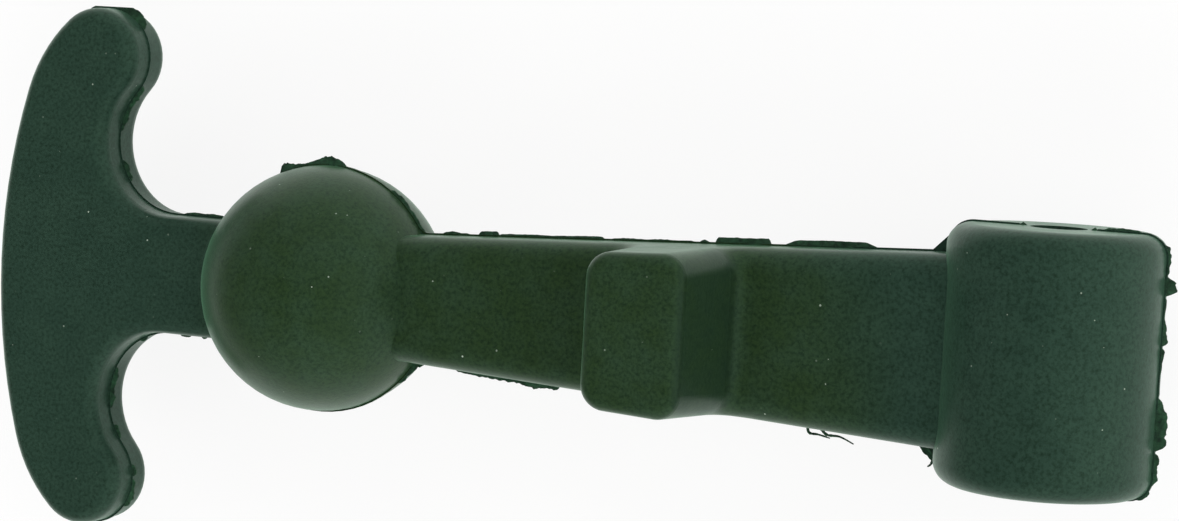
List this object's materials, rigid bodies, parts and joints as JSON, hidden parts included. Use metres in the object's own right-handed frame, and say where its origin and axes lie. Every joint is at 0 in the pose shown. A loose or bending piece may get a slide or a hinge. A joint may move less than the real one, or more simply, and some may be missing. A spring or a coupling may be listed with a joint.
{
  "type": "rubber t-handle draw latch",
  "caption": "One-piece rubber draw latch: a T-handle and ball at one end, a tapered strap with a stop lug, and a cross barrel bored for a hinge pin at the other.",
  "frame": {"origin": "centre of the bore through the pivot barrel", "axes": "+X runs from the T-handle to the barrel, +Y runs along the hinge pin, +Z is the front, the side with the stop lug"},
  "size_m": [0.1544, 0.0678, 0.034],
  "materials": {
    "moulded_rubber": "matt moulded rubber, black-green"
  },
  "bodies": {
    "root": {"rubber_latch": "moulded_rubber"}
  },
  "joints": []
}
